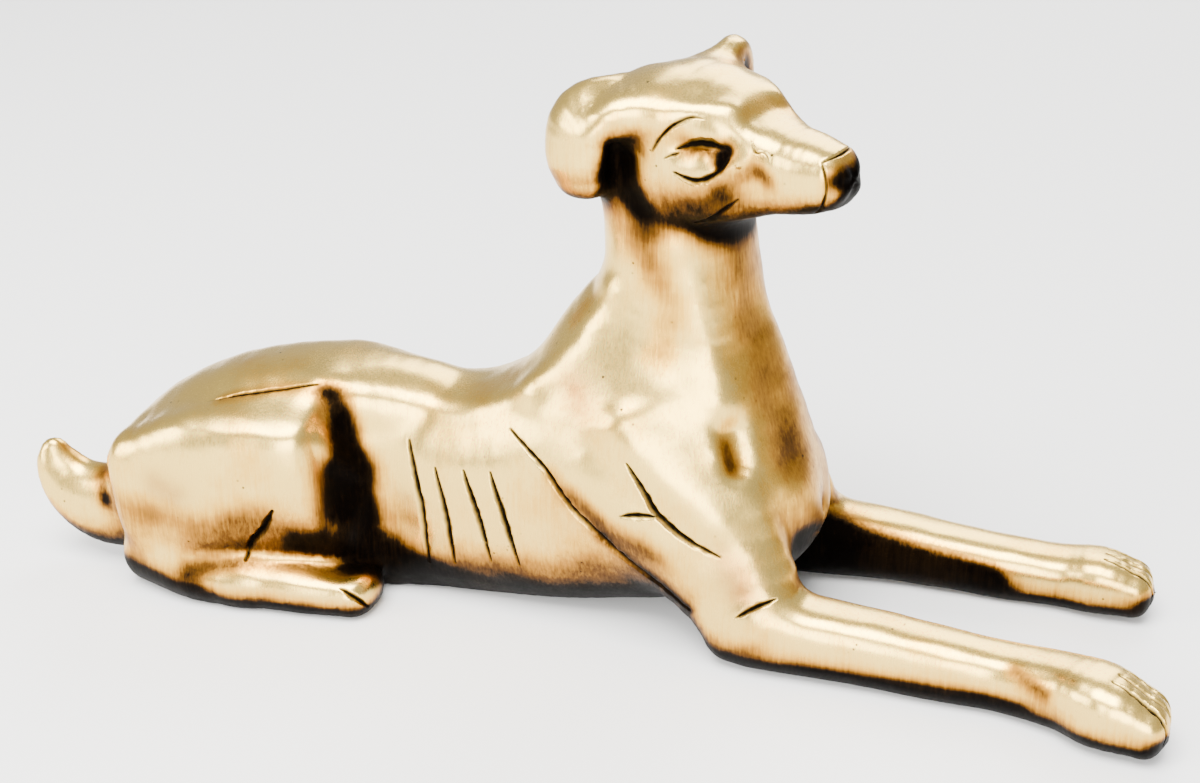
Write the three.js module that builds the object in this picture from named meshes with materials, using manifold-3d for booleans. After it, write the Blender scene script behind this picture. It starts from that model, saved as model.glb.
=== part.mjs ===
// A dog lying down with its head up, cast in brass in one piece.
//
// The frame is in millimetres: the dog faces +X, +Z is up and the flat underside lies at z = 0.
// The figure is a free form. Its pose, its proportions and its carving are shares of its length, so
// every place and size below the driving dimensions is in thousandths of the length.

import * as THREE from 'three';
import { mergeVertices } from 'three/addons/utils/BufferGeometryUtils.js';
import Module from 'manifold-3d';

// Driving dimensions, millimetres
const length = 430; // from the tip of the tail to the toes of the leading forepaw
const shortestEdge = 0.12; // edges of the finished surface shorter than this are closed up

// Plan of the body: it lies in a slight bow, and sway gives the middle line's place across
const bow = { crest: 46, crestX: 173, fall: 85, reach: 634 };
const sway = (x) => bow.crest - bow.fall * ((x - bow.crestX) / bow.reach) ** 2;

// The middle of the figure's plan, on the ground, which comes to lie at the origin
const middle = [-15.86, 26.54, 0];

// Each row is one station of a limb: x, how far across from the bowed middle line, z, half width
// and half depth. The dog's right is below zero across
const trunkStations = [
  [-392, 0, 62, 44, 54],
  [-360, 0, 79, 64, 82],
  [-315, 0, 93, 80, 103],
  [-255, 0, 99, 82, 111],
  [-200, 0, 95, 62, 110],
  [-150, 0, 91, 60, 102],
  [-100, 0, 93, 70, 101],
  [-50, 0, 101, 80, 106],
  [0, 0, 110, 86, 108],
  [60, 0, 116, 90, 100],
  [96, 0, 110, 83, 80],
  [114, 0, 106, 71, 64],
];
const neckStations = [
  [68, 0, 140, 80, 90],
  [49, 0, 200, 74, 105],
  [55, 0, 250, 64, 82],
  [58, 0, 300, 57, 66],
  [56, -2, 345, 53, 61],
  [50, -4, 395, 54, 60],
];
const haunchStations = [
  [-372, 42, 96, 42, 62],
  [-320, 50, 102, 47, 80],
  [-264, 54, 106, 46, 82],
];
const shankStations = [
  [-386, 34, 36, 38, 42],
  [-335, 54, 26, 42, 36],
  [-288, 64, 22, 38, 30],
];
const hindFootStations = [
  [-296, 72, 22, 30, 26],
  [-248, 76, 20, 30, 24],
  [-203, 79, 18, 29, 21],
];
const shoulderStations = [
  [30, 46, 190, 34, 58],
  [66, 58, 132, 36, 66],
  [118, 74, 76, 36, 54],
  [150, 84, 40, 32, 38],
];
const rightForelegStations = [
  [135, -87, 31, 29, 30],
  [165, -88, 32, 32, 33],
  [230, -88, 30, 30, 31],
  [305, -89, 27, 28, 29],
  [350, -88, 26, 27, 27],
  [400, -96, 29, 30, 29],
  [430, -107, 31, 34, 31],
  [458, -109, 26, 31, 25],
];
const leftForelegStations = [
  [130, 80, 34, 33, 34],
  [165, 82, 33, 33, 34],
  [240, 89, 29, 30, 30],
  [280, 89, 27, 28, 28],
  [328, 90, 25, 27, 27],
  [380, 95, 24, 28, 25],
  [413, 94, 27, 30, 27],
  [437, 95, 25, 28, 23],
];
const tailStations = [
  [-425, -4, 50, 26, 40],
  [-455, 0, 52, 24, 38],
  [-480, 4, 64, 20, 29],
  [-497, 7, 86, 14, 19],
  [-501, 8, 104, 8, 10],
];

// The haunch is dressed flat above and below its broad side: each plane has its slope and the
// distance that it lies out from the middle of the body
const haunchPlanes = [
  { slope: [0, 0.47, 0.883], out: 196 },
  { slope: [0.12, 0.935, -0.335], out: 28 },
];

// The head turns to the dog's right. Its own frame is forward, left and up from the skull's middle
const head = { x: 49, across: -1, z: 428, yaw: -25, pitch: -1, roll: 3 };
const skullStations = [
  [-14, 0, -12, 54, 52],
  [22, 0, -2, 61, 60],
  [58, 0, -4, 55, 53],
];
const snoutStations = [
  [40, 0, -10, 50, 46],
  [92, 0, -9, 37, 37],
  [130, 0, -7, 31, 31],
  [151, 0, -5, 26, 25],
];
const rightEarStations = [
  [4, -38, 30, 34, 19],
  [-13, -60, 30, 31, 17],
  [-26, -74, 18, 31, 22],
  [-30, -77, -6, 30, 24],
  [-29, -75, -20, 26, 23],
];
const leftEarStations = [
  [8, 42, 38, 16, 15],
  [9, 60, 47, 12, 13],
  [0, 70, 36, 17, 20],
  [-12, 76, 10, 24, 25],
  [-12, 74, -20, 21, 24],
];

// Swells laid over the limbs, and hollows where the height is below zero. Each follows the points
// that it runs through, on the dog's right, and comes on the left too
const bodySwells = [
  { width: 26, height: -13, points: [[-196, -68, 152], [-190, -66, 110], [-182, -62, 74]] },
  { width: 12, height: -7, points: [[-350, -98, 40], [-300, -104, 50], [-250, -100, 53], [-212, -88, 48]] },
  { width: 16, height: 4, points: [[-236, -44, 197], [-173, -40, 184], [-112, -41, 184], [-55, -54, 213]] },
  { width: 18, height: 4, points: [[-55, -54, 213], [-13, -54, 256], [4, -47, 300]] },
  { width: 24, height: 6, points: [[0, -86, 150], [45, -98, 118], [95, -106, 84]] },
  { width: 24, height: 6, points: [[30, -92, 200], [70, -95, 165], [110, -97, 132]] },
  { width: 12, height: -9, points: [[121, -74, 196], [127, -78, 172]] },
  { width: 13, height: 4, points: [[118, -84, 186], [132, -84, 163], [152, -82, 129], [176, -78, 85]] },
  { width: 22, height: 5, points: [[62, -55, 340], [78, -56, 311], [92, -57, 270], [108, -66, 228]] },
  { width: 20, height: -5, points: [[132, -30, 290], [150, -38, 225], [160, -42, 170]] },
];
const headSwells = [
  { width: 10, height: 3, points: [[34, -56, 34], [60, -44, 42], [82, -26, 40]] },
  { width: 12, height: -6, points: [[57, -57, 12], [71, -52, 15], [84, -45, 13]] },
  { width: 14, height: -4, points: [[86, -42, -24], [106, -34, -10]] },
  { width: 12, height: 3, points: [[24, -52, -48], [60, -42, -50], [100, -30, -36]] },
  { width: 14, height: -4, points: [[94, -14, 36], [94, 14, 36]] },
  { width: 11, height: -9, points: [[0, -72, 18], [-3, -68, 0], [-4, -63, -24], [0, -58, -42]] },
];

// Each carved line is [half width, depth] and then the points it runs through. A point of the body
// is x, across, z, and a point of the head is in its frame
const ribLines = [
  [[-161, -52, 153], [-151, -61, 96], [-146, -55, 37]],
  [[-136, -61, 133], [-126, -66, 90], [-121, -60, 42]],
  [[-109, -67, 136], [-96, -73, 96], [-86, -69, 52]],
  [[-84, -72, 139], [-71, -77, 97], [-60, -73, 53]],
].map((points) => ({ gauge: [2.6, 4.5], points }));
const bodyLines = [
  ...ribLines,
  { gauge: [2.6, 4], points: [[-334, -58, 184], [-290, -54, 192], [-238, -47, 197]] },
  { gauge: [5, 7], points: [[-262, -100, 100], [-273, -99, 76], [-291, -96, 50]] },
  {
    gauge: [3.2, 5],
    points: [[-69, -65, 177], [-33, -83, 152], [-6, -90, 121], [16, -94, 102], [50, -95, 74], [96, -104, 49]],
  },
  {
    gauge: [3.2, 5],
    points: [[40, -95, 173], [55, -99, 152], [69, -102, 132], [94, -104, 114], [120, -106, 103]],
  },
  { gauge: [2.4, 3.5], points: [[36, -99, 127], [51, -100, 130], [66, -102, 131]] },
  { gauge: [2.4, 3.5], points: [[136, -117, 54], [152, -114, 65], [167, -105, 71]] },
  { gauge: [3, 5], points: [[-206, -104, 34], [-192, -104, 24], [-180, -98, 10]] },
];
const headLines = [
  { gauge: [5.5, 6], points: [[50, -58, 9], [69, -52, 16], [88, -43, 13]] },
  { gauge: [2.2, 3.5], points: [[49, -60, -10], [67, -56, -13], [82, -50, -6], [88, -45, 6]] },
  { gauge: [2, 3], points: [[29, -61, 4], [41, -56, 24], [55, -47, 33], [67, -42, 33]] },
  { gauge: [2.4, 3.5], points: [[55, -40, -53], [77, -40, -41], [95, -38, -26]] },
];
const noseLines = [
  { gauge: [1.8, 3], points: [[160, -22, 17], [166, -22, -2], [158, -18, -22], [146, -12, -32]] },
  { gauge: [1.8, 3], points: [[160, -22, 17], [166, -8, 20], [164, 10, 20], [156, 22, 17]] },
];
const toeLine = { gauge: [2.4, 4.5], spacing: 19, heel: 8, tip: 24 };

const mix = (a, b, t) => a + (b - a) * t;
const dot = (a, b) => a[0] * b[0] + a[1] * b[1] + a[2] * b[2];
const cross = (a, b) => [
  a[1] * b[2] - a[2] * b[1],
  a[2] * b[0] - a[0] * b[2],
  a[0] * b[1] - a[1] * b[0],
];
const scaled = (a, s) => [a[0] * s, a[1] * s, a[2] * s];
const minus = (a, b) => [a[0] - b[0], a[1] - b[1], a[2] - b[2]];
const size = (a) => Math.sqrt(dot(a, a));
const unit = (a) => scaled(a, 1 / size(a));

// Union and intersection of two forms whose meeting is rounded over a distance k
const join = (a, b, k) => Math.min(a, b) - (Math.max(k - Math.abs(a - b), 0) ** 2) / (4 * k);
const common = (a, b, k) => -join(-a, -b, k);

// A smooth line through rows of numbers, by uniform Catmull-Rom, with steps rows to a span
function through(rows, steps) {
  const last = rows.length - 1;
  const line = [];
  for (let i = 0; i < last; i++) {
    const [a, b, c, d] = [Math.max(i - 1, 0), i, i + 1, Math.min(i + 2, last)].map((k) => rows[k]);
    for (let s = 0; s < steps; s++) {
      const t = s / steps;
      line.push(b.map((_, k) => b[k] + 0.5 * t * (c[k] - a[k]
        + t * (2 * a[k] - 5 * b[k] + 4 * c[k] - d[k] + t * (3 * (b[k] - c[k]) + d[k] - a[k])))));
    }
  }
  line.push(rows[last]);
  return line;
}

// A limb: oval sections carried along the line through its stations. It gives the distance from a
// point to its skin, below zero inside. Square sections have an order above 2, and cap is how far
// the ends stand out, as a share of the section's smaller half. A point past the end of a span that
// another one follows is measured as if it lay in the section there, so that the bend is round.
function limb(stations, { side = [0, 1, 0], order = 2, cap = 0.8, steps = 4 } = {}) {
  const line = through(stations, steps);
  const spans = line.slice(1).map((to, i) => {
    const from = line[i];
    const run = minus(to, from);
    const along = unit(run);
    const across = unit(minus(side, scaled(along, dot(side, along))));
    const ends = [i === 0, i === line.length - 2];
    return { from, to, along, across, over: cross(along, across), reach: size(run), ends };
  });
  return (x, y, z) => {
    let nearest = Infinity;
    for (const { from, to, along, across, over, reach, ends } of spans) {
      const p = [x - from[0], y - from[1], z - from[2]];
      const travel = dot(p, along);
      const t = Math.min(Math.max(travel / reach, 0), 1);
      const halfWidth = mix(from[3], to[3], t);
      const halfDepth = mix(from[4], to[4], t);
      const past = travel - t * reach;
      const [a, b] = [dot(p, across), dot(p, over)];
      const away = Math.sqrt(a * a + b * b + past * past);
      const capped = (past < 0 && ends[0]) || (past > 0 && ends[1]);
      const stretch = capped ? 1 : away / (Math.sqrt(a * a + b * b) + 1e-9);
      const tip = cap * Math.min(halfWidth, halfDepth);
      const level = (Math.abs((a * stretch) / halfWidth) ** order
        + Math.abs((b * stretch) / halfDepth) ** order
        + (capped ? Math.abs(past / tip) ** order : 0)) ** (1 / order) + 1e-9;
      nearest = Math.min(nearest, away * (1 - 1 / level) - (level < 0.05 ? halfWidth : 0));
    }
    return nearest;
  };
}

const trunk = limb(trunkStations, { order: 2.4, cap: 0.75 });
const neck = limb(neckStations, { order: 2.2 });
const haunch = limb(haunchStations, { order: 3.4, cap: 1 });
const shank = limb(shankStations, { order: 2.2 });
const hindFoot = limb(hindFootStations, { order: 2.4, cap: 1 });
const shoulder = limb(shoulderStations, { order: 2.4, cap: 0.6 });
const rightForeleg = limb(rightForelegStations, { order: 2.7, cap: 1 });
const leftForeleg = limb(leftForelegStations, { order: 2.7, cap: 1 });
const tail = limb(tailStations, { order: 2.2, cap: 1 });
const skull = limb(skullStations, { order: 2.3, cap: 0.7 });
const snout = limb(snoutStations, { order: 2.6, cap: 0.8 });
const rightEar = limb(rightEarStations, { side: [1, 0, 0], order: 2.4, cap: 1 });
const leftEar = limb(leftEarStations, { side: [1, 0, 0], order: 2.4, cap: 1 });

// How high the swells stand at a point
function swellAt(swells, point) {
  let total = 0;
  for (const { width, height, points } of swells) {
    let nearest = Infinity;
    for (let i = 0; i + 1 < points.length; i++) {
      const run = minus(points[i + 1], points[i]);
      const p = minus(point, points[i]);
      const t = Math.min(Math.max(dot(p, run) / dot(run, run), 0), 1);
      nearest = Math.min(nearest, size(minus(p, scaled(run, t))));
    }
    total += height * Math.exp(-((nearest / width) ** 2));
  }
  return total;
}

// The head's place and frame
const headMiddle = [head.x, head.across + sway(head.x), head.z];
const turn = new THREE.Matrix4().makeRotationFromEuler(new THREE.Euler(
  THREE.MathUtils.degToRad(head.roll),
  THREE.MathUtils.degToRad(-head.pitch),
  THREE.MathUtils.degToRad(head.yaw),
  'ZYX',
));
const [forward, left, up] = [0, 1, 2].map((k) => turn.elements.slice(4 * k, 4 * k + 3));

function headForm(x, y, z) {
  const p = minus([x, y, z], headMiddle);
  const [f, l, u] = [dot(p, forward), dot(p, left), dot(p, up)];
  let d = join(skull(f, l, u), snout(f, l, u), 22);
  d = join(d, rightEar(f, l, u), 12);
  d = join(d, leftEar(f, l, u), 12);
  return d - swellAt(headSwells, [f, -Math.abs(l), u]);
}

// The whole figure: its distance from a point, all in thousandths of the length
function figure(x, y, z) {
  const across = y - sway(x);
  const beside = Math.abs(across);
  let flank = haunch(x, beside, z);
  for (const { slope, out } of haunchPlanes) flank = common(flank, dot([x, beside, z], slope) - out, 8);
  let d = trunk(x, across, z);
  d = join(d, neck(x, across, z), 60);
  d = join(d, flank, 12);
  d = join(d, shank(x, beside, z), 10);
  d = join(d, hindFoot(x, beside, z), 8);
  d = join(d, shoulder(x, beside, z), 18);
  d = join(d, rightForeleg(x, across, z), 16);
  d = join(d, leftForeleg(x, across, z), 16);
  d = join(d, tail(x, across, z), 14);
  d -= swellAt(bodySwells, [x, -beside, z]);
  return join(d, headForm(x, y, z), 16);
}

// Grid lines from one place to the next, each stretch with its own spacing
function rule(stretches) {
  const lines = [stretches[0].from];
  for (const { from, to, step } of stretches) {
    const count = Math.round((to - from) / step);
    for (let i = 1; i <= count; i++) lines.push(mix(from, to, i / count));
  }
  return lines;
}

// The least and the most that rows of stations reach to along one axis, with room to spare
const widest = (row) => Math.max(row[3], row[4]);
const reachOf = (rows, axis) => [
  Math.min(...rows.map((row) => row[axis] - widest(row))) - 16,
  Math.max(...rows.map((row) => row[axis] + widest(row))) + 16,
];
const inPlan = (row) => row.map((n, k) => (k === 1 ? n + sway(row[0]) : n));
const lower = [...trunkStations, ...hindFootStations, ...rightForelegStations, ...leftForelegStations,
  ...tailStations, ...shoulderStations, ...haunchStations];
const paired = [...lower, ...lower.map(([x, across, ...rest]) => [x, -across, ...rest])].map(inPlan);
const headRows = [...skullStations, ...snoutStations, ...rightEarStations, ...leftEarStations].map(
  ([f, l, u, ...halves]) => [
    ...headMiddle.map((n, k) => n + f * forward[k] + l * left[k] + u * up[k]), ...halves]);
const [rear, front] = reachOf(paired, 0);
const [rightmost, leftmost] = reachOf([...paired, ...headRows], 1);
const [bottom] = reachOf(lower, 2);
const [throat, crown] = reachOf(headRows, 2);
const [rump, waist] = [tailStations[0][0], trunkStations[7][0]];
const [elbow, wrist] = [rightForelegStations[2][0], rightForelegStations[5][0]];
const kneeTop = 70;

const xLines = rule([
  { from: rear, to: rump, step: 16 },
  { from: rump, to: waist, step: 23 },
  { from: waist, to: elbow, step: 17 },
  { from: elbow, to: wrist, step: 24 },
  { from: wrist, to: front, step: 13 },
]);
const yLines = rule([{ from: rightmost, to: leftmost, step: 16 }]);
const zLines = rule([
  { from: bottom, to: kneeTop, step: 15 },
  { from: kneeTop, to: throat, step: 22 },
  { from: throat, to: crown, step: 13 },
]);

// The skin as a mesh of quads: one vertex in each grid cell that the skin passes through, at the
// middle of its crossings with the cell's edges, then slid down the slope onto the skin itself.
function skin(form, xs, ys, zs) {
  const [nx, ny, nz] = [xs.length, ys.length, zs.length];
  const at = (i, j, k) => (k * ny + j) * nx + i;
  const values = new Float64Array(nx * ny * nz);
  for (let k = 0; k < nz; k++) {
    for (let j = 0; j < ny; j++) {
      for (let i = 0; i < nx; i++) values[at(i, j, k)] = form(xs[i], ys[j], zs[k]);
    }
  }
  const corner = (i, j, k) => [xs[i], ys[j], zs[k]];
  const steps = [[1, 0, 0], [0, 1, 0], [0, 0, 1]];
  const vertexOf = new Int32Array(values.length).fill(-1);
  const positions = [];
  for (let k = 0; k < nz - 1; k++) {
    for (let j = 0; j < ny - 1; j++) {
      for (let i = 0; i < nx - 1; i++) {
        const sum = [0, 0, 0];
        let crossings = 0;
        for (let axis = 0; axis < 3; axis++) {
          const [u, v] = [steps[(axis + 1) % 3], steps[(axis + 2) % 3]];
          for (let c = 0; c < 4; c++) {
            const start = [i, j, k].map((n, m) => n + (c & 1) * u[m] + (c >> 1) * v[m]);
            const end = start.map((n, m) => n + steps[axis][m]);
            const [a, b] = [values[at(...start)], values[at(...end)]];
            if ((a < 0) === (b < 0)) continue;
            const [p, q] = [corner(...start), corner(...end)];
            const t = a / (a - b);
            for (let m = 0; m < 3; m++) sum[m] += mix(p[m], q[m], t);
            crossings += 1;
          }
        }
        if (!crossings) continue;
        vertexOf[at(i, j, k)] = positions.length;
        positions.push(settle(form, scaled(sum, 1 / crossings)));
      }
    }
  }
  const triangles = [];
  for (let axis = 0; axis < 3; axis++) {
    const [u, v] = [steps[(axis + 1) % 3], steps[(axis + 2) % 3]];
    for (let k = 0; k < nz; k++) {
      for (let j = 0; j < ny; j++) {
        for (let i = 0; i < nx; i++) {
          const here = [i, j, k];
          const next = here.map((n, m) => n + steps[axis][m]);
          if (next[0] >= nx || next[1] >= ny || next[2] >= nz) continue;
          const [a, b] = [values[at(...here)], values[at(...next)]];
          if ((a < 0) === (b < 0)) continue;
          const cells = [[0, 0], [1, 0], [1, 1], [0, 1]].map(([p, q]) => vertexOf[at(
            ...here.map((n, m) => n - p * u[m] - q * v[m]))]);
          const ring = a < 0 ? cells : cells.reverse();
          const [p, q, r, s] = ring.map((n) => positions[n]);
          const shortWay = dot(minus(p, r), minus(p, r)) < dot(minus(q, s), minus(q, s));
          const order = shortWay ? [0, 1, 2, 0, 2, 3] : [1, 2, 3, 1, 3, 0];
          triangles.push(...order.map((n) => ring[n]));
        }
      }
    }
  }
  return { positions, triangles };
}

// The form's slope at a point, which on the skin points straight out
function slopeOf(form, [x, y, z]) {
  const h = 0.5;
  return [
    (form(x + h, y, z) - form(x - h, y, z)) / (2 * h),
    (form(x, y + h, z) - form(x, y - h, z)) / (2 * h),
    (form(x, y, z + h) - form(x, y, z - h)) / (2 * h),
  ];
}

// Slides a point down the form's slope until it lies on the skin
function settle(form, point) {
  let at = point;
  for (let round = 0; round < 3; round++) {
    const slope = slopeOf(form, at);
    const way = form(...at) / Math.max(dot(slope, slope), 0.25);
    at = minus(at, scaled(slope, way));
  }
  return at;
}

const wasm = await Module();
wasm.setup();

// A closed geometry as a solid
function solidOf(geometry) {
  const bare = geometry.clone();
  for (const name of Object.keys(bare.attributes)) if (name !== 'position') bare.deleteAttribute(name);
  const merged = mergeVertices(bare, 1e-4);
  return new wasm.Manifold(new wasm.Mesh({
    numProp: 3,
    vertProperties: new Float32Array(merged.attributes.position.array),
    triVerts: new Uint32Array(merged.index.array),
  }));
}

// A solid's mesh as a geometry. The very short edges that crossing cuts leave are drawn together,
// each to one of its ends, and the triangles that this flattens are dropped
function geometryOf(solid, shortestEdge) {
  const { vertProperties, triVerts } = solid.getMesh();
  const vertex = (i) => Array.from(vertProperties.slice(3 * i, 3 * i + 3));
  const stand = Array.from({ length: vertProperties.length / 3 }, (_, i) => i);
  const standFor = (i) => (stand[i] === i ? i : standFor(stand[i]));
  const corners = Array.from({ length: triVerts.length / 3 }, (_, i) => triVerts.slice(3 * i, 3 * i + 3));
  for (const [a, b, c] of corners) {
    for (const [from, to] of [[a, b], [b, c], [c, a]]) {
      const edge = minus(vertex(from), vertex(to));
      if (dot(edge, edge) < shortestEdge ** 2) stand[standFor(from)] = standFor(to);
    }
  }
  const kept = corners.map((triangle) => Array.from(triangle, standFor))
    .filter(([a, b, c]) => a !== b && b !== c && c !== a);
  const used = [...new Set(kept.flat())];
  const place = new Map(used.map((i, n) => [i, n]));
  const geometry = new THREE.BufferGeometry();
  geometry.setAttribute('position', new THREE.Float32BufferAttribute(used.flatMap(vertex), 3));
  geometry.setIndex(kept.flat().map((i) => place.get(i)));
  geometry.computeVertexNormals();
  return geometry;
}

// A geometry in millimetres from points in thousandths of the length
function meshGeometry(points, triangles) {
  const geometry = new THREE.BufferGeometry();
  const placed = points.flatMap((point) => minus(point, middle).map((n) => (n * length) / 1000));
  geometry.setAttribute('position', new THREE.Float32BufferAttribute(placed, 3));
  geometry.setIndex(triangles);
  return geometry;
}

// A graver's cut along a line on the skin: a kite section that swells from a point at one end and
// dies away at the other, with its keel below the skin and its ridge above
function graverCut({ gauge: [halfWidth, depth], points }) {
  const clear = 5;
  const path = through(points, 2).map((point) => settle(figure, point));
  const last = path.length - 1;
  const rings = path.map((centre, i) => {
    const run = unit(minus(path[Math.min(i + 1, last)], path[Math.max(i - 1, 0)]));
    const out = unit(slopeOf(figure, centre));
    const aside = unit(cross(run, out));
    const swell = Math.sin(Math.PI * (0.08 + 0.84 * (i / last))) ** 0.6;
    const from = (a, o) => centre.map((n, k) => n + a * aside[k] + o * out[k]);
    if (i === 0 || i === last) return [from(0, 1)];
    return [
      from(halfWidth * swell * 2, clear),
      from(0, -depth * swell),
      from(-halfWidth * swell * 2, clear),
    ];
  });
  const vertices = rings.flat();
  const triangles = [];
  const start = (i) => 1 + 3 * (i - 1);
  for (let k = 0; k < 3; k++) {
    const n = (k + 1) % 3;
    triangles.push([0, start(1) + n, start(1) + k]);
    for (let i = 1; i < last - 1; i++) {
      const [a, b] = [start(i) + k, start(i) + n];
      triangles.push([a, b, b + 3], [a, b + 3, a + 3]);
    }
    triangles.push([start(last - 1) + k, start(last - 1) + n, vertices.length - 1]);
  }
  return meshGeometry(vertices, triangles.flat());
}

const bodyPoint = ([x, across, z]) => [x, sway(x) + across, z];
const mirrored = (line) => ({ ...line, points: line.points.map(([a, b, c]) => [a, -b, c]) });
const headPoint = ([f, l, u]) => headMiddle.map(
  (n, k) => n + f * forward[k] + l * left[k] + u * up[k]);

// Three lines part the toes of a forepaw, from its top forward and down to its tip
function toeLines(stations) {
  const [toe, ankle] = [1, 3].map((back) => inPlan(stations[stations.length - back]));
  const ahead = unit([toe[0] - ankle[0], toe[1] - ankle[1], 0]);
  const beside = [-ahead[1], ahead[0], 0];
  return [-1, 0, 1].map((k) => ({
    gauge: toeLine.gauge,
    points: [[-toeLine.heel, 32], [toeLine.tip * 0.5, 22], [toeLine.tip, 4], [toeLine.tip, -12]].map(
      ([run, rise]) => [
        toe[0] + ahead[0] * run + beside[0] * k * toeLine.spacing,
        toe[1] + ahead[1] * run + beside[1] * k * toeLine.spacing,
        toe[2] + rise,
      ]),
  }));
}

// The ground: everything below z = 0 is cut off flat
function ground() {
  const side = 2 * length;
  return new THREE.BoxGeometry(side, side, side).translate(0, 0, -side / 2);
}

const brass = new THREE.MeshStandardMaterial({ color: 0xb5965a, metalness: 1, roughness: 0.3 });
const place = (line, toWorld) => ({ ...line, points: line.points.map(toWorld) });
const carving = [
  ...bodyLines.flatMap((line) => [line, mirrored(line)]).map((line) => place(line, bodyPoint)),
  ...headLines.flatMap((line) => [line, mirrored(line)]).map((line) => place(line, headPoint)),
  ...noseLines.map((line) => place(line, headPoint)),
  ...toeLines(rightForelegStations),
  ...toeLines(leftForelegStations),
];
const { positions, triangles } = skin(figure, xLines, yLines, zLines);
let casting = solidOf(meshGeometry(positions, triangles)).subtract(solidOf(ground()));
for (const line of carving) casting = casting.subtract(solidOf(graverCut(line)));
const dog = new THREE.Mesh(geometryOf(casting, shortestEdge), brass);
dog.name = 'dog';

const statue = new THREE.Group();
statue.add(dog);
export default statue;
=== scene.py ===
"""A cast brass dog lying down, as a fine mesh with its worn polish, on a pale studio floor."""

import math

import bpy
import numpy as np
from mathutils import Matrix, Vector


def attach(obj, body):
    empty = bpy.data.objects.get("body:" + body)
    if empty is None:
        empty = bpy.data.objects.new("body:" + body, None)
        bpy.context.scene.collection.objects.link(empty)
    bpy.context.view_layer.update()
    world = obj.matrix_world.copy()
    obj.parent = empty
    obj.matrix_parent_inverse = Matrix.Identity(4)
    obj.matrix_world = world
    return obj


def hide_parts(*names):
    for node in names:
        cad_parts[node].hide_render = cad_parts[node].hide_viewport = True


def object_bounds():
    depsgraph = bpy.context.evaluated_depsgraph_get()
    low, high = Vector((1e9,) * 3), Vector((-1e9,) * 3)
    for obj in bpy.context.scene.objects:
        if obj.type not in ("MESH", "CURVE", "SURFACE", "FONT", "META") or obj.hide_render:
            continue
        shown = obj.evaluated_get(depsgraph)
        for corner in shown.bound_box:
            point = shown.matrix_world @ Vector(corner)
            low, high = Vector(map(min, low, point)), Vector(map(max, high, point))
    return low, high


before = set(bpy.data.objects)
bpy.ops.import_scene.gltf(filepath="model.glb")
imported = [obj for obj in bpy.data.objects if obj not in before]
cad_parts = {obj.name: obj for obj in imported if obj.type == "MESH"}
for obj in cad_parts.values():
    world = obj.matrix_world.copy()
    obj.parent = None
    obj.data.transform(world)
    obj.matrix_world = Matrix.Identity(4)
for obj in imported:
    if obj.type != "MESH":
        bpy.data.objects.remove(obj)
cad_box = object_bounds()

# The figure is drawn in thousandths of its length, facing +X, with +Z up and the ground at z = 0.
LENGTH = 0.430  # metres, from the tip of the tail to the toes of the leading forepaw
MIDDLE = np.array([-15.86, 26.54, 0.0])  # middle of the plan, which lies at the row's origin

# The skin is found on a grid, and its edges are then halved until none is longer than these
GRID_STEP = 5.2
GRID_LOW, GRID_HIGH = np.array([-540.0, -160, -24]), np.array([510.0, 200, 530])
PLAIN_EDGE, DETAIL_EDGE, CUT_EDGE = 8.0, 4.6, 1.35  # on the body, on head and paws, beside a cut
EDGE_GROWTH, CUT_REACH = 0.9, 14  # how fast edges lengthen away from a cut, and how far that goes
HEAD_FROM_Z, PAWS_FROM_X = 360, 385
SPLITS = 4

# The polished skin is uneven: height and wavelength of its waves. It is rubbed down a little too
UNEVEN = [(0.28, 60), (0.10, 22)]
RUBBED_DOWN = 0.4

# The chisel's chatter along the cuts: share of the width, and wavelength
CHATTER, CHATTER_LENGTH = 0.13, 9

# How far out each probe for shelter goes, and its weight
SHELTER_PROBES = [(6, 0.15), (16, 0.3), (34, 0.3), (70, 0.25)]

# How far the joins between the limbs are rounded
NECK_JOIN, HAUNCH_JOIN, SHANK_JOIN, HIND_FOOT_JOIN = 60, 12, 10, 8
SHOULDER_JOIN, FORELEG_JOIN, TAIL_JOIN, HEAD_JOIN = 18, 16, 14, 16
SNOUT_JOIN, RIGHT_EAR_JOIN, LEFT_EAR_JOIN, PLANE_JOIN = 22, 28, 18, 8

# Plan of the body: it lies in a slight bow, and sway gives the middle line's place across
BOW_CREST, BOW_CREST_X, BOW_FALL, BOW_REACH = 46.0, 173.0, 85.0, 634.0

# Each row is one station of a limb: x, how far across from the bowed middle line, z, half width
# and half depth. The dog's right is below zero across
TRUNK = [
    [-392, 0, 62, 44, 54], [-360, 0, 79, 64, 82], [-315, 0, 93, 80, 103], [-255, 0, 99, 82, 111],
    [-200, 0, 95, 62, 110], [-150, 0, 91, 60, 102], [-100, 0, 93, 70, 101], [-50, 0, 101, 80, 106],
    [0, 0, 110, 86, 108], [60, 0, 116, 90, 100], [96, 0, 110, 83, 80], [114, 0, 106, 71, 64],
]
NECK = [
    [68, 0, 140, 80, 90], [49, 0, 200, 74, 105], [55, 0, 250, 64, 82], [58, 0, 300, 57, 66],
    [56, -2, 345, 53, 61], [50, -4, 395, 54, 60],
]
HAUNCH = [
    [-372, 42, 96, 42, 62], [-320, 50, 102, 47, 80], [-264, 54, 106, 46, 82],
]
SHANK = [
    [-386, 34, 36, 38, 42], [-335, 54, 26, 42, 36], [-288, 64, 22, 38, 30],
]
HIND_FOOT = [
    [-296, 72, 22, 30, 26], [-248, 76, 20, 30, 24], [-203, 79, 18, 29, 21],
]
SHOULDER = [
    [30, 46, 190, 34, 58], [66, 58, 132, 36, 66], [118, 74, 76, 36, 54], [150, 84, 40, 32, 38],
]
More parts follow.
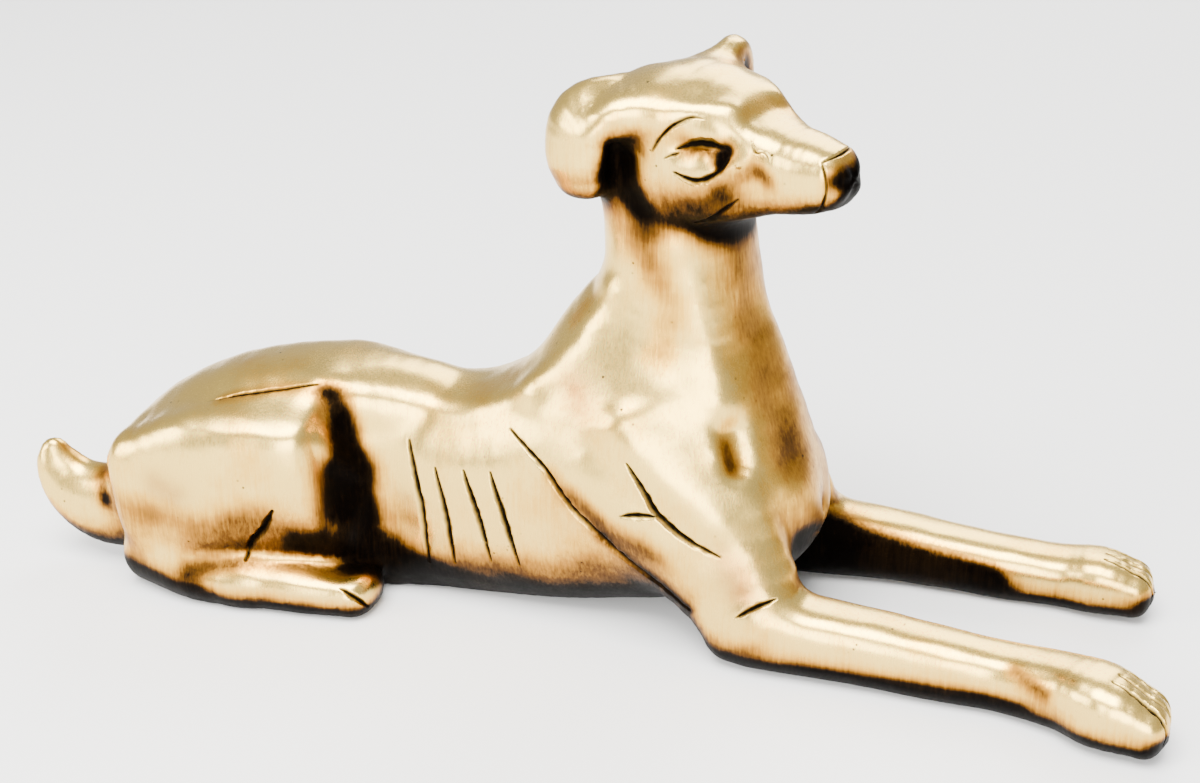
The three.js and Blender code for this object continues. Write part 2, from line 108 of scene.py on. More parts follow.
RIGHT_FORELEG = [
    [135, -87, 31, 29, 30], [165, -88, 32, 32, 33], [230, -88, 30, 30, 31], [305, -89, 27, 28, 29],
    [350, -88, 26, 27, 27], [400, -96, 29, 30, 29], [430, -107, 31, 34, 31], [458, -109, 26, 31, 25],
]
LEFT_FORELEG = [
    [130, 80, 34, 33, 34], [165, 82, 33, 33, 34], [240, 89, 29, 30, 30], [280, 89, 27, 28, 28],
    [328, 90, 25, 27, 27], [380, 95, 24, 28, 25], [413, 94, 27, 30, 27], [437, 95, 25, 28, 23],
]
TAIL = [
    [-425, -4, 50, 26, 40], [-455, 0, 52, 24, 38], [-480, 4, 64, 20, 29], [-497, 7, 86, 14, 19],
    [-501, 8, 104, 8, 10],
]

# The haunch is dressed flat above and below its broad side: each plane has its slope and the
# distance that it lies out from the middle of the body
HAUNCH_PLANES = [((0, 0.47, 0.883), 196.0), ((0.12, 0.935, -0.335), 28.0)]

# The head turns to the dog's right. Its own frame is forward, left and up from the skull's middle
HEAD_X, HEAD_ACROSS, HEAD_Z = 49.0, -1.0, 428.0
HEAD_YAW, HEAD_PITCH, HEAD_ROLL = -25.0, -1.0, 3.0
SKULL = [
    [-14, 0, -12, 54, 52], [22, 0, -2, 61, 60], [58, 0, -4, 55, 53],
]
SNOUT = [
    [40, 0, -10, 50, 46], [92, 0, -9, 37, 37], [130, 0, -7, 31, 31], [151, 0, -5, 26, 25],
]
RIGHT_EAR = [
    [4, -38, 30, 34, 19], [-13, -60, 30, 31, 17], [-26, -74, 18, 31, 22], [-30, -77, -6, 30, 24],
    [-29, -75, -20, 26, 23],
]
LEFT_EAR = [
    [8, 42, 38, 16, 15], [9, 60, 47, 12, 13], [0, 70, 36, 17, 20], [-12, 76, 10, 24, 25],
    [-12, 74, -20, 21, 24],
]

# Swells laid over the limbs, and hollows where the height is below zero: width, height and the
# points that each runs through, on the dog's right. They come on the left too
BODY_SWELLS = [
    # recess before the haunch, and the hollow between haunch and shank
    (26, -13, [[-196, -68, 152], [-190, -66, 110], [-182, -62, 74]]),
    (12, -7, [[-350, -98, 40], [-300, -104, 50], [-250, -100, 53], [-212, -88, 48]]),
    # ridges along the loin and up the withers
    (16, 4, [[-236, -44, 197], [-173, -40, 184], [-112, -41, 184], [-55, -54, 213]]),
    (18, 4, [[-55, -54, 213], [-13, -54, 256], [4, -47, 300]]),
    # upper arm and edge of the shoulder blade
    (24, 6, [[0, -86, 150], [45, -98, 118], [95, -106, 84]]),
    (24, 6, [[30, -92, 200], [70, -95, 165], [110, -97, 132]]),
    # pit in the chest and the ridge below it
    (12, -9, [[121, -74, 196], [127, -78, 172]]),
    (13, 4, [[118, -84, 186], [132, -84, 163], [152, -82, 129], [176, -78, 85]]),
    # ridge down the neck's side and hollow down the front of the chest
    (22, 5, [[62, -55, 340], [78, -56, 311], [92, -57, 270], [108, -66, 228]]),
    (20, -5, [[132, -30, 290], [150, -38, 225], [160, -42, 170]]),
]
HEAD_SWELLS = [
    # brow, eye socket and cheek
    (10, 3, [[34, -56, 34], [60, -44, 42], [82, -26, 40]]),
    (12, -6, [[57, -57, 12], [71, -52, 15], [84, -45, 13]]),
    (14, -4, [[86, -42, -24], [106, -34, -10]]),
    # edge of the jaw, and the dip between brow and muzzle
    (12, 3, [[24, -52, -48], [60, -42, -50], [100, -30, -36]]),
    (14, -4, [[94, -14, 36], [94, 14, 36]]),
    # recess between ear and cheek, and the eyeball
    (9, -6, [[-5, -72, 8], [-4, -69, -4]]),
    (12, -10, [[-2, -66, -16], [2, -60, -32], [6, -56, -46]]),
    (4.5, 2.2, [[66, -55, 9], [72, -51, 10]]),
]

# Where the brass is painted darker, partly with stains of age and partly with painted shade in
# recesses, under the throat, by the ground and on faces that turn down or ahead: width, strength and
# the points that each patch runs through
BODY_STAINS_AND_SHADE = [
    # recess before the haunch, down to the knee
    (13, 1.1, [[-224, -50, 188], [-212, -60, 165], [-208, -64, 140]]),
    (22, 1.3, [[-206, -66, 122], [-208, -70, 97], [-196, -64, 60], [-174, -56, 32], [-146, -56, 12]]),
    (15, 1.0, [[-246, -96, 66], [-222, -90, 60], [-200, -72, 40]]),
    # haunch's lower plane and belly, painted shade where they turn down, crease over the shank, and
    # painted shade on the rump's foot by the ground
    (20, 0.5, [[-385, -80, 86], [-329, -97, 80], [-275, -101, 92]]),
    (14, 0.16, [[-140, -62, 40], [-67, -73, 50], [6, -86, 70]]),
    (10, 1.0, [[-345, -96, 36], [-295, -99, 50], [-232, -92, 53]]),
    (15, 0.9, [[-408, -62, 20], [-335, -92, 14]]),
    # painted shade along the belly's edge on the ground and low on the inner and outer sides of the
    # forelegs
    (15, 0.8, [[-140, -60, 6], [-40, -80, 6], [60, -86, 8], [110, -90, 16]]),
    (24, 1.1, [[140, -34, 66], [168, -52, 44], [230, -62, 26], [316, -66, 14]]),
    (9, 0.75, [[190, -118, 10], [300, -116, 14], [370, -114, 16]]),
    # pit in the chest, lower end of the shoulder cut, and the haunch's crease
    (8, 1.0, [[121, -78, 192], [128, -80, 174]]),
    (8, 0.45, [[16, -94, 102], [50, -97, 76], [96, -104, 49]]),
    (10, 0.5, [[-316, -58, 188], [-270, -52, 195], [-236, -50, 195]]),
    # painted shade on the upper arm and elbow
    (13, 0.5, [[-27, -86, 150], [0, -95, 130], [26, -100, 109], [61, -106, 96]]),
    (12, 0.2, [[58, -104, 112], [82, -108, 88]]),
    # painted shade on the side and front of the neck, and the nape
    (19, 0.5, [[40, -55, 352], [49, -57, 321], [66, -60, 296], [58, -64, 258]]),
    (22, 0.2, [[104, -34, 320], [124, -28, 267], [138, -32, 226], [156, -30, 184], [160, -34, 150]]),
    (12, 0.4, [[-22, -36, 268], [-6, -42, 318]]),
]
ONE_SIDE_STAINS_AND_SHADE = [
    # toes of the right and left forepaws
    (12, 0.9, [[474, -126, 16], [480, -96, 14]]),
    (13, 1.0, [[452, 78, 22], [458, 100, 16]]),
    # root of the tail, a smudge on the right wrist, and painted shade on the left foreleg's inner side
    (9, 1.2, [[-447, -8, 80], [-440, -24, 68]]),
    (9, 0.7, [[362, -110, 46], [386, -122, 40]]),
    (15, 0.9, [[176, 58, 44], [250, 62, 34], [322, 66, 22]]),
]
HEAD_STAINS_AND_SHADE = [
    # painted shade in the recess between ear and cheek, and painted shadow under the throat
    (7, 0.9, [[-4, -72, 12], [-2, -68, 0]]),
    (11, 1.1, [[0, -66, -12], [4, -60, -32], [12, -55, -46]]),
    (15, 0.9, [[22, -40, -62], [60, -20, -64], [76, 0, -62]]),
    # eye socket and the corner of the mouth
    (9, 0.7, [[57, -56, 12], [86, -44, 14]]),
    (12, 0.45, [[84, -42, -28], [104, -34, -30]]),
    # nose, from below and in front
    (13, 1.0, [[168, 0, -20], [152, -12, -30]]),
    (11, 1.1, [[170, -14, 2], [175, -2, -2], [168, 10, -6]]),
    # jowl, inner corner of the eye, and the muzzle's side
    (14, 0.4, [[40, -58, -40], [76, -46, -38]]),
    (6, 1.0, [[84, -46, 2], [87, -44, 12]]),
    (9, 0.35, [[108, -35, 8], [118, -32, -8]]),
]
# Where the metal shows coppery: haunch, withers and elbow
COPPER_STAINS = [
    (14, 1.2, [[-364, -90, 114], [-350, -94, 108]]),
    (17, 1.3, [[-14, -66, 224], [-2, -68, 204]]),
    (16, 1.4, [[128, -108, 98], [142, -112, 76]]),
]

# Each carved line is half width, depth, and the points it runs through. Body and head lines come on
# both sides
RIBS = [
    [[-161, -52, 153], [-151, -61, 96], [-146, -55, 37]],
    [[-136, -61, 133], [-126, -66, 90], [-121, -60, 42]],
    [[-109, -67, 136], [-96, -73, 96], [-86, -69, 52]],
    [[-84, -72, 139], [-71, -77, 97], [-60, -73, 53]],
]
BODY_LINES = [(3.7, 5.0, rib) for rib in RIBS] + [
    # haunch's crease and the cut over the shank
    (2.4, 2.0, [[-334, -58, 184], [-290, -54, 192], [-238, -47, 197]]),
    (5.0, 7.0, [[-262, -100, 100], [-273, -99, 76], [-291, -96, 50]]),
    # shoulder's long cut, upper arm's cut with its branch, and the elbow's
    (4.4, 5.5, [[-69, -65, 177], [-33, -83, 152], [-6, -90, 121],
                [16, -94, 102], [50, -95, 74], [96, -104, 49]]),
    (4.0, 5.5, [[40, -95, 173], [55, -99, 152], [69, -102, 132], [94, -104, 114], [120, -106, 103]]),
    (3.6, 4.0, [[36, -99, 127], [51, -100, 130], [66, -102, 131]]),
    (3.0, 3.5, [[136, -117, 54], [152, -114, 65], [167, -105, 71]]),
    # toe of the hind foot
    (3.0, 5.0, [[-206, -104, 34], [-192, -104, 24], [-180, -98, 10]]),
]
HEAD_LINES = [
    # upper lid, lower lid, outer corner, brow and mouth
    (5.0, 5.0, [[51, -58, 10], [69, -52, 17], [88, -43, 13]]),
    (4.2, 4.5, [[49, -60, -9], [67, -56, -13], [82, -50, -6], [89, -44, 8]]),
    (2.0, 2.2, [[41, -62, 1], [53, -58, 8]]),
    (2.6, 3.0, [[29, -61, 4], [41, -56, 24], [55, -47, 33], [67, -42, 33]]),
    (2.8, 3.5, [[55, -40, -53], [77, -40, -41], [95, -38, -26]]),
]
# These come on the right only, or run over the nose: its two edges and a flaw in the muzzle
NOSE_LINES = [
    (1.8, 3.0, [[160, -22, 17], [166, -22, -2], [158, -18, -22], [146, -12, -32]]),
    (1.8, 3.0, [[160, -22, 17], [166, -8, 20], [164, 10, 20], [156, 22, 17]]),
    (1.4, 1.6, [[103, -33, 24], [108, -34, 14], [114, -33, 15], [120, -33, 8]]),
]
TOE_GAUGE, TOE_SPACING = (3.2, 4.5), 12.0
TOE_LINE = [(-18, 34), (6, 24), (22, 8), (24, -6)]  # ahead of the last station and above it


def sway(x):
    """How far the body's middle line lies to the left at x: a parabola about its crest."""
    return BOW_CREST - BOW_FALL * ((x - BOW_CREST_X) / BOW_REACH) ** 2


def unit(vectors):
    """Vectors divided by their lengths."""
    return vectors / (np.linalg.norm(vectors, axis=-1, keepdims=True) + 1e-12)


def join(a, b, k):
    """Union of two forms, the lesser of their distances, rounded over a distance k."""
    return np.minimum(a, b) - np.maximum(k - np.abs(a - b), 0) ** 2 / (4 * k)


def through(rows, steps):
    """A smooth line through rows of numbers, by uniform Catmull-Rom, with steps rows to a span."""
    rows = np.array(rows, float)
    padded = np.vstack([rows[:1], rows, rows[-1:]])
    a, b, c, d = padded[:-3, None], padded[1:-2, None], padded[2:-1, None], padded[3:, None]
    t = (np.arange(steps) / steps)[None, :, None]
    spans = b + 0.5 * t * (c - a + t * (2 * a - 5 * b + 4 * c - d + t * (3 * (b - c) + d - a)))
    return np.vstack([spans.reshape(-1, rows.shape[1]), rows[-1:]])


def beside(points, line, reach):
    """The points within reach of a line: which they are, how far they lie from it, and what share of
    its length lies before the place nearest to each."""
    low, high = line.min(0) - reach, line.max(0) + reach
    which = np.flatnonzero(((points > low) & (points < high)).all(1))
    p = points[which]
    length = np.linalg.norm(np.diff(line, axis=0), axis=1)
    before = np.concatenate([[0], np.cumsum(length)])
    far, share = np.full(len(p), np.inf), np.zeros(len(p))
    for i in range(len(line) - 1):
        run = line[i + 1] - line[i]
        t = np.clip((p - line[i]) @ run / (run @ run), 0, 1)
        d = np.linalg.norm(p - line[i] - t[:, None] * run, axis=1)
        closer = d < far
        far = np.where(closer, d, far)
        share = np.where(closer, (before[i] + t * length[i]) / before[-1], share)
    return which, far, share


def limb(stations, side=(0, 1, 0), order=2.0, cap=0.8, steps=4, reach=30.0):
    """Oval sections carried along the line through the stations, as a function that gives the
    distance of points from its skin, below zero inside. Each span's sections have an order, 2 for
    an oval and more for squarer ones, and its ends stand out by cap times the smaller half. A point
    past the end of a span that another follows is measured as if it lay in the section there.
    Beyond reach the distance is only that from the limb's box."""
    line = through(stations, steps)
    start, end = line[:-1], line[1:]
    run = end[:, :3] - start[:, :3]
    length = np.linalg.norm(run, axis=1)
    along = run / length[:, None]
    across = unit(np.array(side, float) - along * (along @ np.array(side, float))[:, None])
    over = np.cross(along, across)
    widest = line[:, 3:].max()
    low, high = line[:, :3].min(0) - widest, line[:, :3].max(0) + widest
    last = len(start) - 1

    def distance(points):
        gap = np.linalg.norm(np.maximum(0, np.maximum(low - points, points - high)), axis=1)
        result = gap + reach
        near = gap < reach
        some = points[near]
        nearest = np.full(len(some), np.inf)
        for i in range(last + 1):
            p = some - start[i, :3]
            travel = p @ along[i]
            t = np.clip(travel / length[i], 0, 1)
            width = start[i, 3] + (end[i, 3] - start[i, 3]) * t
            depth = start[i, 4] + (end[i, 4] - start[i, 4]) * t
            past = travel - t * length[i]
            a, b = p @ across[i], p @ over[i]
            away = np.sqrt(a * a + b * b + past * past)
            capped = ((past < 0) & (i == 0)) | ((past > 0) & (i == last))
            stretch = np.where(capped, 1, away / (np.sqrt(a * a + b * b) + 1e-9))
            tip = np.where(capped, np.abs(past) / (cap * np.minimum(width, depth)), 0)
            level = (np.abs(a * stretch / width) ** order + np.abs(b * stretch / depth) ** order
                     + tip ** order) ** (1 / order) + 1e-9
            nearest = np.minimum(nearest, away * (1 - 1 / level) - np.where(level < 0.05, width, 0))
        result[near] = nearest
        return result

    return distance


def swell(swells, reach=2.6):
    """A function that gives how high the swells stand at points: the sum of each one's height times
    a bell curve of the distance from its line, which is left out beyond reach widths."""
    rows = [(w, h, np.array(line, float)) for w, h, line in swells]

    def height(points):
        total = np.zeros(len(points))
        for width, top, line in rows:
            which, far, _ = beside(points, line, reach * width)
            total[which] += top * np.exp(-(far / width) ** 2)
        return total

    return height


trunk = limb(TRUNK, order=2.4, cap=0.75, reach=70)
neck = limb(NECK, order=2.2, reach=70)
haunch = limb(HAUNCH, order=3.4, cap=1)
shank = limb(SHANK, order=2.2)
hind_foot = limb(HIND_FOOT, order=2.4, cap=1)
shoulder = limb(SHOULDER, order=2.4, cap=0.6)
right_foreleg = limb(RIGHT_FORELEG, order=2.7, cap=1)
left_foreleg = limb(LEFT_FORELEG, order=2.7, cap=1)
tail = limb(TAIL, order=2.2, cap=1)
skull = limb(SKULL, order=2.3, cap=0.7)
snout = limb(SNOUT, order=2.6, cap=0.8)
right_ear = limb(RIGHT_EAR, side=(1, 0, 0), order=2.4, cap=1)
left_ear = limb(LEFT_EAR, side=(1, 0, 0), order=2.4, cap=1)
body_swell, head_swell = swell(BODY_SWELLS), swell(HEAD_SWELLS)


def turned(axis, degrees):
    """The matrix of a turn about one axis."""
    c, s = math.cos(math.radians(degrees)), math.sin(math.radians(degrees))
    matrix = np.eye(3)
    i, j = (axis + 1) % 3, (axis + 2) % 3
    matrix[[i, j], [i, j]] = c
    matrix[i, j], matrix[j, i] = -s, s
    return matrix


HEAD_AT = np.array([HEAD_X, HEAD_ACROSS + sway(HEAD_X), HEAD_Z])
HEAD_TURN = turned(2, HEAD_YAW) @ turned(1, -HEAD_PITCH) @ turned(0, HEAD_ROLL)


def head_form(points):
    """The head's distance from points: skull, snout and ears joined in the head's frame."""
    p = (points - HEAD_AT) @ HEAD_TURN
    d = join(skull(p), snout(p), SNOUT_JOIN)
    d = join(d, right_ear(p), RIGHT_EAR_JOIN)
    d = join(d, left_ear(p), LEFT_EAR_JOIN)
    return d - head_swell(np.stack([p[:, 0], -np.abs(p[:, 1]), p[:, 2]], 1))


def figure(points):
    """The whole figure's distance from points, below zero inside."""
    across = points[:, 1] - sway(points[:, 0])
    bent = np.stack([points[:, 0], across, points[:, 2]], 1)
    paired = np.stack([points[:, 0], np.abs(across), points[:, 2]], 1)
    flank = haunch(paired)
    for slope, out in HAUNCH_PLANES:
        flank = -join(-flank, out - paired @ slope, PLANE_JOIN)
    d = join(trunk(bent), neck(bent), NECK_JOIN)
    d = join(d, flank, HAUNCH_JOIN)
    d = join(d, shank(paired), SHANK_JOIN)
    d = join(d, hind_foot(paired), HIND_FOOT_JOIN)
    d = join(d, shoulder(paired), SHOULDER_JOIN)
    d = join(d, right_foreleg(bent), FORELEG_JOIN)
    d = join(d, left_foreleg(bent), FORELEG_JOIN)
    d = join(d, tail(bent), TAIL_JOIN)
    d = d - body_swell(np.stack([points[:, 0], -np.abs(across), points[:, 2]], 1))
    return join(d, head_form(points), HEAD_JOIN)


def casting(points):
    """The figure cut off flat at the ground."""
    return np.maximum(figure(points), -points[:, 2])


def skin(form, low, high, step):
    """A form's skin as triangles: one point in each grid cell that the skin passes through, at the
    mean of its crossings with the cell's edges, and a quad round each crossed edge. The form is
    found on every fourth grid line first, and on all of them only near the skin."""
    count = np.ceil((high - low) / (4 * step)).astype(int) * 4 + 1
    axes = [low[k] + step * np.arange(count[k]) for k in range(3)]
    rough = np.stack(np.meshgrid(*[a[::4] for a in axes], indexing="ij"), -1)
    rough_values = form(rough.reshape(-1, 3)).reshape(rough.shape[:3])
    close = np.abs(rough_values) < 6 * step
    block = np.zeros(np.array(close.shape) - 1, bool)
    for i in range(8):
        shift = [slice(b, (b - 1) or None) for b in ((i >> 2) & 1, (i >> 1) & 1, i & 1)]
        block |= close[tuple(shift)]
    wanted = np.zeros(count, bool)
    wanted[:-1, :-1, :-1] = block.repeat(4, 0).repeat(4, 1).repeat(4, 2)
    for axis in range(3):
        ahead = np.moveaxis(wanted, axis, 0)
        ahead[1:] |= ahead[:-1].copy()
    values = rough_values.repeat(4, 0).repeat(4, 1).repeat(4, 2)[:count[0], :count[1], :count[2]].copy()
    index = np.argwhere(wanted)
    values[wanted] = form(low + step * index)
    inside = values < 0
    cells, crossings, rings = [], [], []
    for axis in range(3):
        e = np.eye(3, dtype=int)[axis]
        u, v = np.roll(e, 1), np.roll(e, 2)
        flips = np.diff(np.moveaxis(inside, axis, 0).astype(np.int8), axis=0)
        at = np.argwhere(np.moveaxis(flips, 0, axis) != 0)
        a, b = values[tuple(at.T)], values[tuple((at + e).T)]
        crossing = low + step * (at + (a / (a - b))[:, None] * e)
        ring = np.stack([np.ravel_multi_index(tuple((at - p * u - q * v).T), count)
                         for p, q in ((0, 0), (1, 0), (1, 1), (0, 1))], 1)
        rings.append(np.where((a < 0)[:, None], ring, ring[:, ::-1]))
        cells.append(ring.ravel())
        crossings.append(crossing.repeat(4, 0))
    cells, crossings = np.concatenate(cells), np.concatenate(crossings)
    used, place = np.unique(cells, return_inverse=True)
    total = np.bincount(place)
    points = np.stack([np.bincount(place, crossings[:, k]) / total for k in range(3)], 1)
    quads = np.searchsorted(used, np.concatenate(rings))
    p = points[quads]
    short = np.linalg.norm(p[:, 0] - p[:, 2], axis=1) < np.linalg.norm(p[:, 1] - p[:, 3], axis=1)
    first = np.where(short[:, None], quads[:, [0, 1, 2]], quads[:, [1, 2, 3]])
    second = np.where(short[:, None], quads[:, [0, 2, 3]], quads[:, [1, 3, 0]])
    return points, np.concatenate([first, second])


def normals_of(points, triangles):
    """Normals at the points: the sum of the area vectors of the triangles round each."""
    p = points[triangles]
    faces = np.cross(p[:, 1] - p[:, 0], p[:, 2] - p[:, 0])
    total = np.stack([np.bincount(triangles.ravel(), faces[:, k].repeat(3), len(points))
                      for k in range(3)], 1)
    return unit(total)


def settle(form, points, normals, rounds=2):
    """Slides points along their normals onto the skin, by the form's slope over a short step."""
    for _ in range(rounds):
        here = form(points)
        slope = form(points + normals) - here
        points = points - normals * np.clip(here / np.maximum(slope, 0.4), -2.5, 2.5)[:, None]
    return points


def split(points, triangles, longest):
    """Halves each edge that is longer than longest says for its middle. A triangle with one, two or
    three halved edges becomes two, three or four. The new points are the last ones."""
    pairs = np.sort(triangles[:, [[0, 1], [1, 2], [2, 0]]].reshape(-1, 2), axis=1)
    edges, edge_of = np.unique(pairs, axis=0, return_inverse=True)
    a, b = points[edges[:, 0]], points[edges[:, 1]]
    middle = (a + b) / 2
    long = np.linalg.norm(a - b, axis=1) > longest(middle)
    new = np.where(long, len(points) + np.cumsum(long) - 1, -1)
    mids = new[edge_of.reshape(-1, 3)]
    halved = (mids >= 0).sum(1)
    after_whole = ((mids < 0).argmax(1) + 1) % 3
    first = np.where(halved == 1, (mids >= 0).argmax(1), np.where(halved == 2, after_whole, 0))
    order = (first[:, None] + np.arange(3)) % 3
    t, m = np.take_along_axis(triangles, order, 1), np.take_along_axis(mids, order, 1)
    made = [t[halved == 0]]
    t1, m1 = t[halved == 1], m[halved == 1]
    made += [np.stack([t1[:, 0], m1[:, 0], t1[:, 2]], 1), np.stack([m1[:, 0], t1[:, 1], t1[:, 2]], 1)]
    t2, m2 = t[halved == 2], m[halved == 2]
    made += [np.stack([m2[:, 0], t2[:, 1], m2[:, 1]], 1), np.stack([t2[:, 0], m2[:, 0], m2[:, 1]], 1),
             np.stack([t2[:, 0], m2[:, 1], t2[:, 2]], 1)]
    t3, m3 = t[halved == 3], m[halved == 3]
    made += [np.stack([t3[:, 0], m3[:, 0], m3[:, 2]], 1), np.stack([m3[:, 0], t3[:, 1], m3[:, 1]], 1),
             np.stack([m3[:, 2], m3[:, 1], t3[:, 2]], 1), m3]
    return np.vstack([points, middle[long]]), np.concatenate(made)


def slope_of(form, points):
    """The form's slope at points, which on the skin points straight out."""
    return np.stack([form(points + e) - form(points - e) for e in 0.5 * np.eye(3)], 1)


def on_skin(line):
    """A line's points slid down the slope onto the skin."""
    for _ in range(3):
        slope = slope_of(figure, line)
        line = line - slope * (figure(line) / np.maximum((slope ** 2).sum(1), 0.25))[:, None]
    return line


def body_place(points):
    """Points given across from the bowed middle line, in the figure's frame."""
    return points + np.array([0, 1, 0]) * sway(points[:, :1])


def head_place(points):
    """Points given in the head's frame, in the figure's frame."""
    return HEAD_AT + points @ HEAD_TURN.T


def toe_lines(stations):
    """Three lines that part the toes of a forepaw, from its top forward and down to its tip."""
    toe, ankle = body_place(np.array([stations[-1][:3], stations[-3][:3]], float))
    ahead = unit((toe - ankle) * [1, 1, 0])
    sideways = np.array([-ahead[1], ahead[0], 0])
    for k in (-1, 0, 1):
        yield (*TOE_GAUGE, np.array([toe + ahead * run + sideways * k * TOE_SPACING + [0, 0, rise]
                                     for run, rise in TOE_LINE]))


def carved_lines():
    """Every carved line, as half width, depth and points on the skin."""
    both = np.array([1, -1, 1])
    lines = [(w, d, body_place(np.array(p, float) * s)) for w, d, p in BODY_LINES for s in (1, both)]
    lines += [(w, d, head_place(np.array(p, float) * s)) for w, d, p in HEAD_LINES for s in (1, both)]
    lines += [(w, d, head_place(np.array(p, float))) for w, d, p in NOSE_LINES]
    lines += [*toe_lines(RIGHT_FORELEG), *toe_lines(LEFT_FORELEG)]
    return [(w, d, on_skin(through(p, 6))) for w, d, p in lines]


def waves(points, wavelength, count, seed):
    """Smooth unevenness, mostly between -1 and 1: the sum of count sine waves of one length in
    random directions and phases, over the root of count."""
    rng = np.random.default_rng(seed)
    directions = unit(rng.normal(size=(count, 3)))
    turns = points @ directions.T * (2 * math.pi / wavelength)
    return np.sin(turns + rng.uniform(0, 6.28, count)).sum(1) / math.sqrt(count)


def carve(points, normals, lines):
    """Sinks a groove into the skin along each line, in a V that swells and dies away along it, with
    a chattered edge. Gives the new points and how deep in a groove each one lies, from 0 to 1."""
    sunk, share_down = np.zeros(len(points)), np.zeros(len(points))
    chatter = 1 + CHATTER * waves(points, CHATTER_LENGTH, 12, 3)
    for half_width, depth, line in lines:
        which, far, share = beside(points, line, 2 * half_width)
        fullness = np.sin(math.pi * (0.06 + 0.88 * share)) ** 0.6
        down = np.clip(1 - far / (half_width * fullness * chatter[which]), 0, 1)
        sunk[which] = np.maximum(sunk[which], depth * fullness * down)
        share_down[which] = np.maximum(share_down[which], down)
    return points - normals * sunk[:, None], share_down


def shelter(points, normals):
    """How shut in each point is, from 0 in the open to 1 in a crevice: how far the distance to the
    skin falls short of the distance travelled, at four distances straight out, with the ground."""
    total = np.zeros(len(points))
    for travel, weight in SHELTER_PROBES:
        ahead = points + normals * travel
        gap = np.minimum(figure(ahead), ahead[:, 2])
        total += weight * np.clip(1 - gap / travel, 0, 1)
    return total


def stains_and_shade(points):
    """How dark each point is painted, from stain and from painted shade, and how coppery: the
    bell curves of the listed patches, from 0 up.
    """
    across = points[:, 1] - sway(points[:, 0])
    bent = np.stack([points[:, 0], across, points[:, 2]], 1)
    on_head = (points - HEAD_AT) @ HEAD_TURN
    dark = swell(BODY_STAINS_AND_SHADE)(np.stack([points[:, 0], -np.abs(across), points[:, 2]], 1))
    dark += swell(ONE_SIDE_STAINS_AND_SHADE)(bent)
    dark += swell(HEAD_STAINS_AND_SHADE)(np.stack([on_head[:, 0], -np.abs(on_head[:, 1]), on_head[:, 2]], 1))
    return dark, swell(COPPER_STAINS)(bent)


def dog_mesh():
    """The dog's skin with its carving: its points in metres, its triangles, and for each point its
    place in the drawing, its normal, how shut in it is and how deep in a groove."""
    points, triangles = skin(casting, GRID_LOW, GRID_HIGH, GRID_STEP)
    points = settle(casting, points, normals_of(points, triangles))
    lines = carved_lines()

    def longest(places):
        """The longest edge allowed at places, which is shortest beside the carved lines."""
        edge = np.full(len(places), PLAIN_EDGE)
        edge[(places[:, 2] > HEAD_FROM_Z) | (places[:, 0] > PAWS_FROM_X)] = DETAIL_EDGE
        for half_width, _, line in lines:
            which, far, _ = beside(places, line, CUT_REACH)
            past_cut = np.maximum(far - half_width, 0)
            edge[which] = np.minimum(edge[which], CUT_EDGE + EDGE_GROWTH * past_cut)
        return edge

    for _ in range(SPLITS):
        known = len(points)
        points, triangles = split(points, triangles, longest)
        normals = normals_of(points, triangles)
        points[known:] = settle(casting, points[known:], normals[known:])
    normals = normals_of(points, triangles)
    sheltered = shelter(points, normals)
    raised = sum(height * waves(points, wavelength, 16, seed)
                 for seed, (height, wavelength) in enumerate(UNEVEN, 1)) - RUBBED_DOWN
    points = points + normals * raised[:, None]
    points, groove = carve(points, normals, lines)
    points[:, 2] = np.maximum(points[:, 2], 0)
    return (points - MIDDLE) * LENGTH / 1000, triangles, points, normals, sheltered, groove


def linear(hex_colour):
    """An sRGB hex colour as linear RGBA."""
    channels = [int(hex_colour[i:i + 2], 16) / 255 for i in (1, 3, 5)]
    return [c / 12.92 if c <= 0.04045 else ((c + 0.055) / 1.055) ** 2.4 for c in channels] + [1.0]


def add(tree, kind, links=(), inputs=(), **settings):
    """Adds a node with its settings, its constant inputs and the links into it."""
    node = tree.nodes.new(kind)
    for name, value in settings.items():
        setattr(node, name, value)

    def socket(name):
        if isinstance(name, int):
            return node.inputs[name]
        return next(s for s in node.inputs if s.name == name and s.enabled)

    for name, value in dict(inputs).items():
        socket(name).default_value = value
    for name, source in dict(links).items():
        tree.links.new(source, socket(name))
    return node


def coloured(mix):
    """The colour that a mix node gives."""
    return next(s for s in mix.outputs if s.enabled)


# The brass from rubbed to darkest, its dark end serving both tarnish and painted shade, the coppery
# blush, and the dirt in grooves and pits
BRASS_SHADES = [(0.0, "#EBC567"), (0.2, "#DCA943"), (0.4, "#A87424"),
                (0.6, "#5A3910"), (0.8, "#180F06"), (1.0, "#050302")]
COPPER_BLUSH, DIRT = "#8A4E22", "#0C0805"
POLISHED_ROUGHNESS, TARNISHED_ROUGHNESS = 0.27, 0.62

# Sizes of the patterns in millimetres, judged against the photograph. A file's own scratches
# are finer than the file marks here, which are drawn as coarse as they need to be to show
MM = 1000  # to a metre
MOTTLE_SIZE, FILE_MARK_SIZE, PIT_SPACING, PIT_PATCH_SIZE = 26.3, 1.11, 3.85, 18.2
FILE_MARK_SLIMNESS = 0.06  # breadth to length
FILE_MARK_DEPTH = 0.0003  # metres


